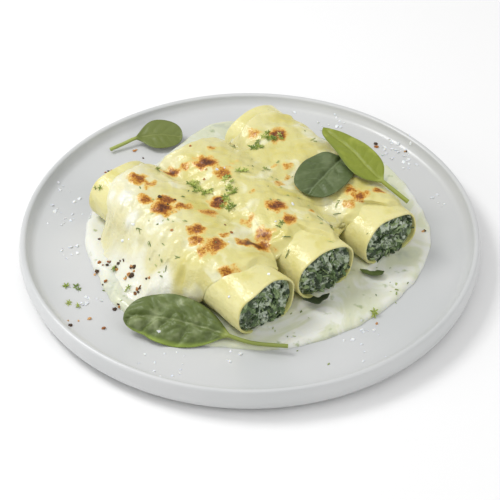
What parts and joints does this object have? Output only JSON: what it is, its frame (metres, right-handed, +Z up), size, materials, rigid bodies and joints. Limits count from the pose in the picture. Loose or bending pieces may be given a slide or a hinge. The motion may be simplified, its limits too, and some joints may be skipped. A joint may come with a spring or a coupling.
{
  "type": "plated cannelloni",
  "caption": "Filled pasta tubes under browned melted cheese in a pool of cream sauce, with spinach leaves, on a round plate with an upright rim.",
  "frame": {"origin": "middle of the plate's foot, on the surface that the plate stands on", "axes": "+Z up out of the plate; +X to the right and +Y away as the plate is seen, with the tubes' open ends towards +X and -Y"},
  "size_m": [0.2612, 0.2612, 0.051],
  "materials": {
    "plate": "pale grey satin glaze",
    "cream_sauce": "wet cream sauce with herb flecks",
    "melted_cheese": "melted cheese, browned in patches",
    "pasta": "cooked egg pasta sheet, slightly moist",
    "spinach_filling": "chopped spinach in soft white cheese",
    "fresh_leaf": "fresh spinach leaf, waxy",
    "dark_leaf": "torn scrap of dark spinach leaf"
  },
  "bodies": {
    "root": {"plate": "plate", "sauce_pool": "cream_sauce", "cheese_topping": "melted_cheese", "pasta_1": "pasta", "pasta_2": "pasta", "pasta_3": "pasta", "filling_1": "spinach_filling", "filling_2": "spinach_filling", "filling_3": "spinach_filling", "leaf_back": "fresh_leaf", "leaf_front": "fresh_leaf", "leaf_round": "fresh_leaf", "leaf_bright": "fresh_leaf", "scrap_left": "dark_leaf", "scrap_right": "dark_leaf"}
  },
  "joints": []
}
